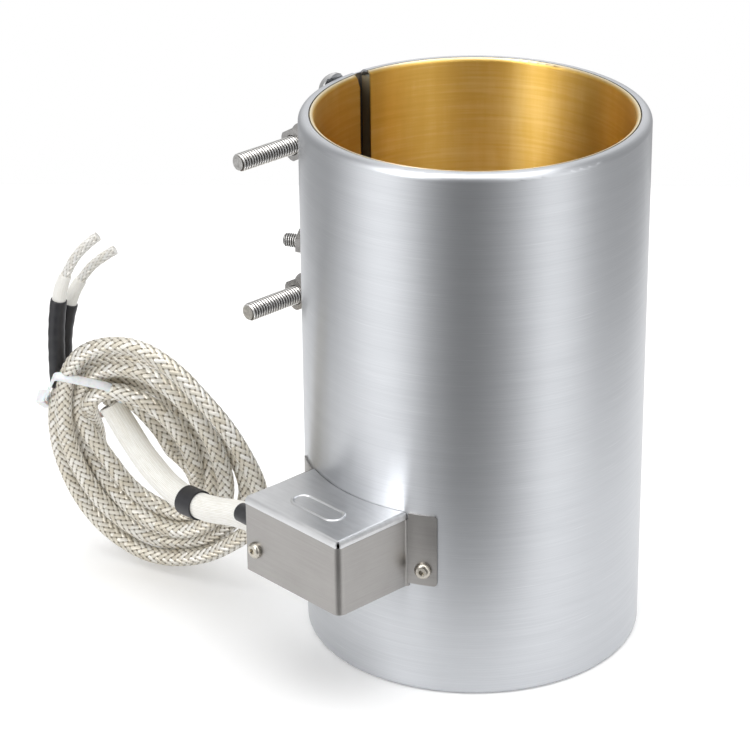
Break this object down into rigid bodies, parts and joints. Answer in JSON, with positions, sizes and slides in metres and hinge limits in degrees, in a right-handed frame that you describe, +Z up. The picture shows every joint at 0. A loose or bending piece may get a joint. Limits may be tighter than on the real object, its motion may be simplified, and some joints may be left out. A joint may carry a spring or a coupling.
{
  "type": "band heater",
  "caption": "Split cylindrical band heater with a brass-lined bore, clamp bolts across the split, a side terminal box and a coiled braided lead.",
  "frame": {"origin": "on the bore axis at the band's bottom edge", "axes": "+Z up the bore; the split faces -X; the terminal box faces -Y; the lead leaves the box towards -X"},
  "size_m": [0.2469, 0.1798, 0.2312],
  "materials": {
    "shell_steel": "brushed along the circumference",
    "liner_brass": "rolled, lightly stained",
    "mica": "layered",
    "element_alloy": "rolled",
    "ceramic_fibre": "felted",
    "zinc_steel": "zinc plated",
    "nickel": "nickel plated",
    "lug_steel": "rolled",
    "box_steel": "rolled stainless steel",
    "ceramic": "unglazed",
    "black_plastic": "satin",
    "white_sleeving": "braided glass fibre",
    "silver_braid": "braided",
    "clear_nylon": "translucent",
    "black_shrink": "shrunk"
  },
  "bodies": {
    "band": {"outer_shell": "shell_steel", "inner_liner": "liner_brass", "inner_mica": "mica", "heating_element": "element_alloy", "outer_mica": "mica", "insulation_blanket": "ceramic_fibre", "clamp_bolts": "zinc_steel", "head_washers": "zinc_steel", "domed_screw": "nickel", "earth_stud": "zinc_steel", "earth_washer": "zinc_steel", "earth_nut": "zinc_steel", "box_body": "box_steel", "box_cover": "box_steel", "box_lid": "box_steel", "box_screws": "nickel", "terminal_block": "ceramic", "terminal_posts": "zinc_steel", "ring_terminals": "nickel", "terminal_nuts": "zinc_steel", "outlet_grommet": "black_plastic", "spare_outlet_cap": "black_plastic", "inner_leads": "white_sleeving", "lead_coil": "silver_braid", "cable_tie": "clear_nylon", "lead_sleeve": "white_sleeving", "sleeve_band": "black_shrink", "upper_left_sleeve": "lug_steel", "upper_left_saddle": "lug_steel", "upper_right_sleeve": "lug_steel", "upper_right_saddle": "lug_steel", "lower_left_sleeve": "lug_steel", "lower_left_saddle": "lug_steel", "lower_right_sleeve": "lug_steel", "lower_right_saddle": "lug_steel", "left_shrink_tube": "black_shrink", "left_tail_sleeve": "white_sleeving", "left_tail_lead": "silver_braid", "right_shrink_tube": "black_shrink", "right_tail_sleeve": "white_sleeving", "right_tail_lead": "silver_braid"},
    "upper_washer_body": {"upper_washer": "zinc_steel"},
    "upper_nut_body": {"upper_nut": "zinc_steel"},
    "lower_washer_body": {"lower_washer": "zinc_steel"},
    "lower_nut_body": {"lower_nut": "zinc_steel"}
  },
  "joints": [
    {"name": "upper_washer_slide", "type": "slide", "parent": "band", "child": "upper_washer_body", "axis": [0, -1, 0], "range_m": [0, 0.02625]},
    {"name": "upper_nut_spin", "type": "hinge", "parent": "upper_washer_body", "child": "upper_nut_body", "pos_m": [-0.0809, -0.0211, 0.201], "axis": [0, -1, 0], "range_deg": [0, 7560]},
    {"name": "lower_washer_slide", "type": "slide", "parent": "band", "child": "lower_washer_body", "axis": [0, -1, 0], "range_m": [0, 0.02625]},
    {"name": "lower_nut_spin", "type": "hinge", "parent": "lower_washer_body", "child": "lower_nut_body", "pos_m": [-0.0809, -0.0211, 0.1325], "axis": [0, -1, 0], "range_deg": [0, 7560]}
  ],
  "couplings": [
    {"joint": "upper_washer_slide", "follows": "upper_nut_spin", "m_per_rad": 0.00019894},
    {"joint": "lower_washer_slide", "follows": "lower_nut_spin", "m_per_rad": 0.00019894}
  ]
}
